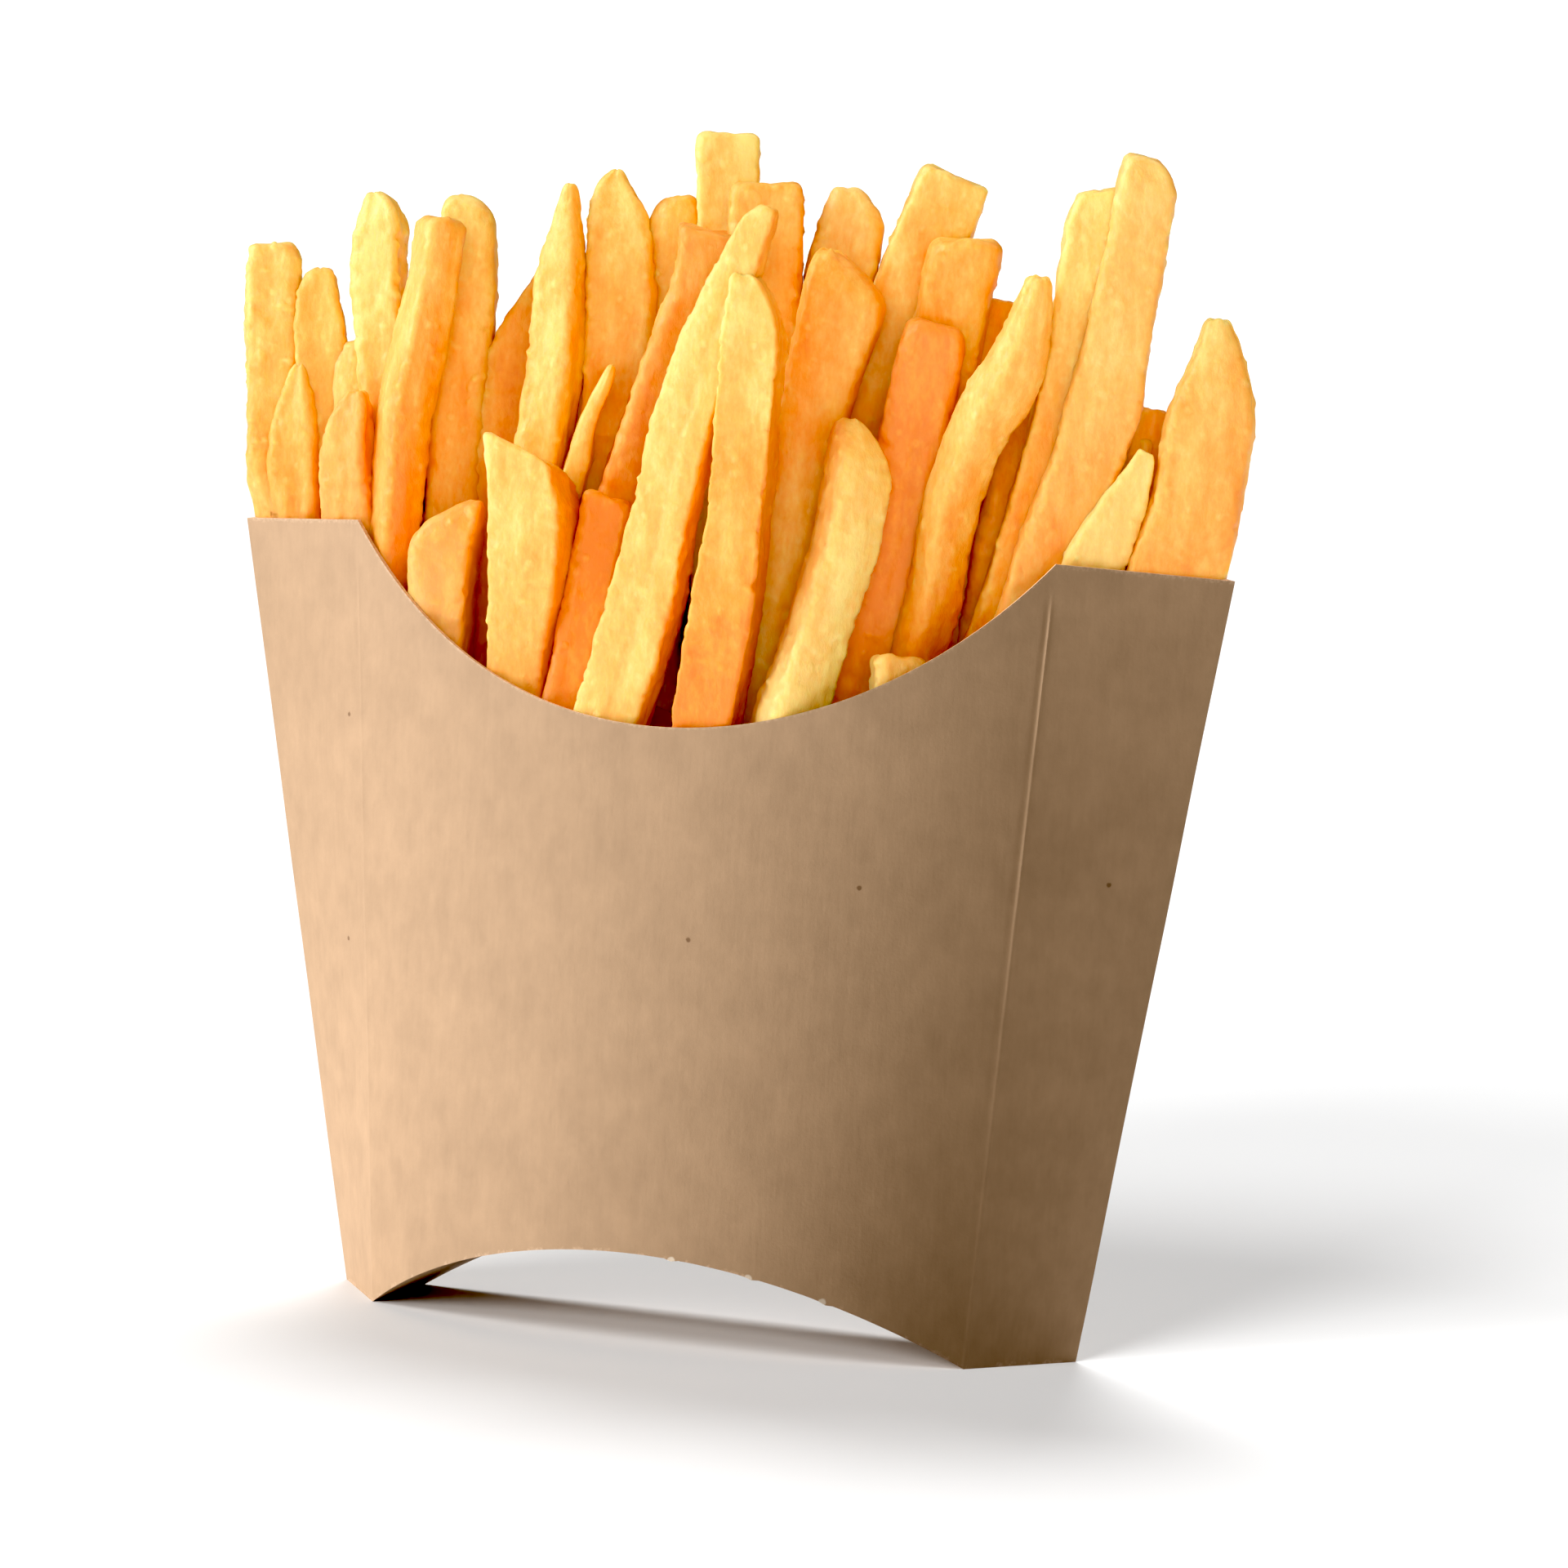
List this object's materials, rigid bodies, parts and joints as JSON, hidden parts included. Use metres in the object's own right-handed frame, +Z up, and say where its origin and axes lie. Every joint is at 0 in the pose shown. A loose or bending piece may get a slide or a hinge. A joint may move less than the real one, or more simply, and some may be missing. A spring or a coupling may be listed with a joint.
{
  "type": "french fries in a carton",
  "caption": "Tall crowded french fries standing in a plain kraft scoop carton with a scooped front, bulging panels and an arched base.",
  "frame": {"origin": "under the middle of the whole, on the surface that the carton stands on", "axes": "+Z up, the scooped front panel faces -Y, +X to the right seen from the front"},
  "size_m": [0.1349, 0.0397, 0.1481],
  "materials": {
    "kraft_board": "matte brown kraft paperboard",
    "fried_potato": "golden fried potato skin with a faint oily sheen"
  },
  "bodies": {
    "root": {"carton": "kraft_board", "fries": "fried_potato"}
  },
  "joints": []
}
